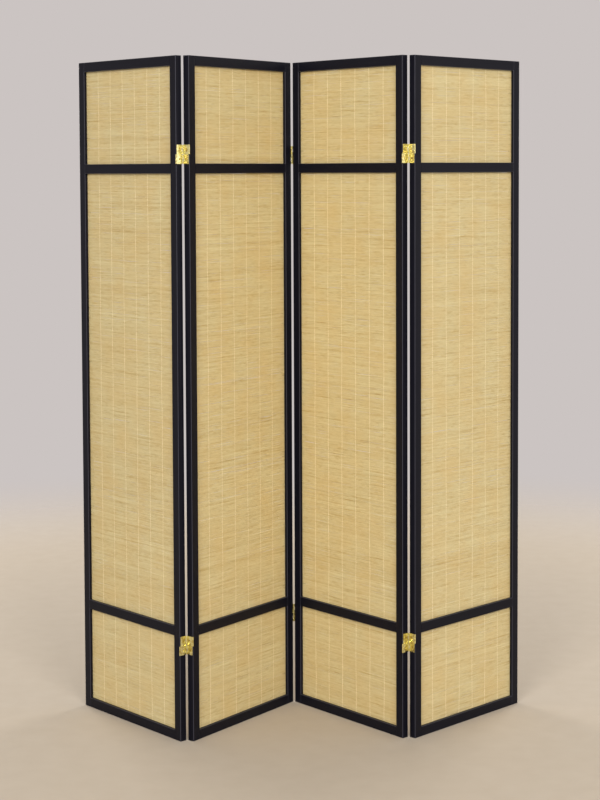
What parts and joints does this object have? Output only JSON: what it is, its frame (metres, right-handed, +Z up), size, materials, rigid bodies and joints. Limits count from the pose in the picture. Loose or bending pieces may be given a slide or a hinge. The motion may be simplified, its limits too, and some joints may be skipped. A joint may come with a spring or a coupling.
{
  "type": "folding screen",
  "caption": "Free-standing folding screen: black framed panels with matchstick bamboo mats, joined edge to edge by two-way brass hinges, standing in a zigzag to divide a room.",
  "frame": {"origin": "on the floor under the middle of the standing screen's box", "axes": "+Z up, +X to the right along the screen as seen from the front, -Y towards the front"},
  "size_m": [1.206, 0.3746, 1.784],
  "materials": {
    "black_lacquer": "satin black lacquer on wood",
    "bamboo_mat": "bare matchstick bamboo with cream thread",
    "dowel_wood": "plain beech",
    "hinge_brass": "polished brass",
    "screw_brass": "brass plated"
  },
  "bodies": {
    "panel_1": {"panel_1_bottom_rail": "black_lacquer", "panel_1_dowels": "dowel_wood", "panel_1_hinge_pins": "hinge_brass", "panel_1_hinge_screws": "screw_brass", "panel_1_lower_rail": "black_lacquer", "panel_1_mat_bottom": "bamboo_mat", "panel_1_mat_middle": "bamboo_mat", "panel_1_mat_top": "bamboo_mat", "panel_1_stile_left": "black_lacquer", "panel_1_stile_right": "black_lacquer", "panel_1_top_rail": "black_lacquer", "panel_1_upper_rail": "black_lacquer", "hinge_1_leaf_left": "hinge_brass", "hinge_1_link_lower": "hinge_brass"},
    "panel_2": {"panel_2_bottom_rail": "black_lacquer", "panel_2_dowels": "dowel_wood", "panel_2_hinge_pins": "hinge_brass", "panel_2_hinge_screws": "screw_brass", "panel_2_lower_rail": "black_lacquer", "panel_2_mat_bottom": "bamboo_mat", "panel_2_mat_middle": "bamboo_mat", "panel_2_mat_top": "bamboo_mat", "panel_2_stile_left": "black_lacquer", "panel_2_stile_right": "black_lacquer", "panel_2_top_rail": "black_lacquer", "panel_2_upper_rail": "black_lacquer", "hinge_1_leaf_right": "hinge_brass", "hinge_1_link_upper": "hinge_brass", "hinge_2_leaf_left": "hinge_brass", "hinge_2_link_upper": "hinge_brass"},
    "panel_3": {"panel_3_bottom_rail": "black_lacquer", "panel_3_dowels": "dowel_wood", "panel_3_hinge_pins": "hinge_brass", "panel_3_hinge_screws": "screw_brass", "panel_3_lower_rail": "black_lacquer", "panel_3_mat_bottom": "bamboo_mat", "panel_3_mat_middle": "bamboo_mat", "panel_3_mat_top": "bamboo_mat", "panel_3_stile_left": "black_lacquer", "panel_3_stile_right": "black_lacquer", "panel_3_top_rail": "black_lacquer", "panel_3_upper_rail": "black_lacquer", "hinge_2_leaf_right": "hinge_brass", "hinge_2_link_lower": "hinge_brass", "hinge_3_leaf_left": "hinge_brass", "hinge_3_link_lower": "hinge_brass"},
    "panel_4": {"panel_4_bottom_rail": "black_lacquer", "panel_4_dowels": "dowel_wood", "panel_4_hinge_pins": "hinge_brass", "panel_4_hinge_screws": "screw_brass", "panel_4_lower_rail": "black_lacquer", "panel_4_mat_bottom": "bamboo_mat", "panel_4_mat_middle": "bamboo_mat", "panel_4_mat_top": "bamboo_mat", "panel_4_stile_left": "black_lacquer", "panel_4_stile_right": "black_lacquer", "panel_4_top_rail": "black_lacquer", "panel_4_upper_rail": "black_lacquer", "hinge_3_leaf_right": "hinge_brass", "hinge_3_link_upper": "hinge_brass"}
  },
  "joints": [
    {"name": "fold_1", "type": "hinge", "parent": "panel_2", "child": "panel_1", "pos_m": [-0.3003, -0.17143, 0], "axis": [0, 0, 1], "range_deg": [-77.3, 102.7]},
    {"name": "fold_2", "type": "hinge", "parent": "panel_2", "child": "panel_3", "pos_m": [-0.02078, 0.17163, 0], "axis": [0, 0, 1], "range_deg": [-75.85, 103.4]},
    {"name": "fold_3", "type": "hinge", "parent": "panel_3", "child": "panel_4", "pos_m": [0.28085, -0.15215, 0], "axis": [0, 0, 1], "range_deg": [-95.3, 84.7]}
  ]
}
